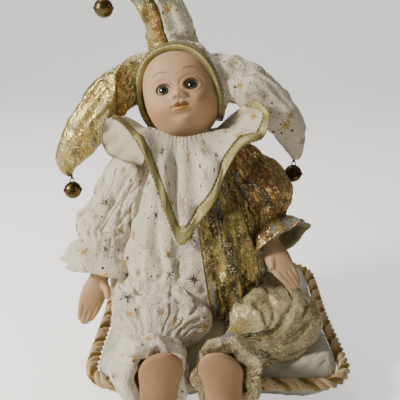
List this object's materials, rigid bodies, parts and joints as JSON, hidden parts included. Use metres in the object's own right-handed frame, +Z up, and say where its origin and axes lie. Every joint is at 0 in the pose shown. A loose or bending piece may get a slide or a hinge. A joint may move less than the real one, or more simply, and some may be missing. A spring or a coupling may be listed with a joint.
{
  "type": "seated jester doll",
  "caption": "Porcelain jester doll in a white and gold costume and a horned hat with bells, seated on a square corded cushion, as a shelf ornament.",
  "frame": {"origin": "the middle of the cushion's flat underside, on the surface that it stands on", "axes": "+Z up, the doll faces -Y, +X towards its left hand"},
  "size_m": [0.2046, 0.1979, 0.2782],
  "materials": {
    "porcelain": "matte painted bisque",
    "eye_glass": "glossy",
    "white_star_cloth": "short pile with printed gold foil stars",
    "gold_brocade": "metallic brocade",
    "gold_ribbon": "satin ribbon with stitched edges",
    "cushion_satin": "satin",
    "twisted_cord": "twisted silky cord with a metallic strand",
    "aged_brass": "aged"
  },
  "bodies": {
    "root": {"cushion": "cushion_satin", "cushion_cord": "twisted_cord", "tunic_white": "white_star_cloth", "tunic_gold": "gold_brocade", "sleeve_white": "white_star_cloth", "sleeve_gold": "gold_brocade", "leg_white": "white_star_cloth", "leg_gold": "gold_brocade", "hand_right": "porcelain", "hand_left": "porcelain", "foot_right": "porcelain", "foot_left": "porcelain", "head": "porcelain", "eye_right": "eye_glass", "eye_left": "eye_glass", "hat_gold": "gold_brocade", "hat_white": "white_star_cloth", "hat_trim": "gold_ribbon", "bell_right": "aged_brass", "bell_left": "aged_brass", "bell_top": "aged_brass", "collar": "white_star_cloth", "collar_trim": "gold_ribbon"}
  },
  "joints": []
}
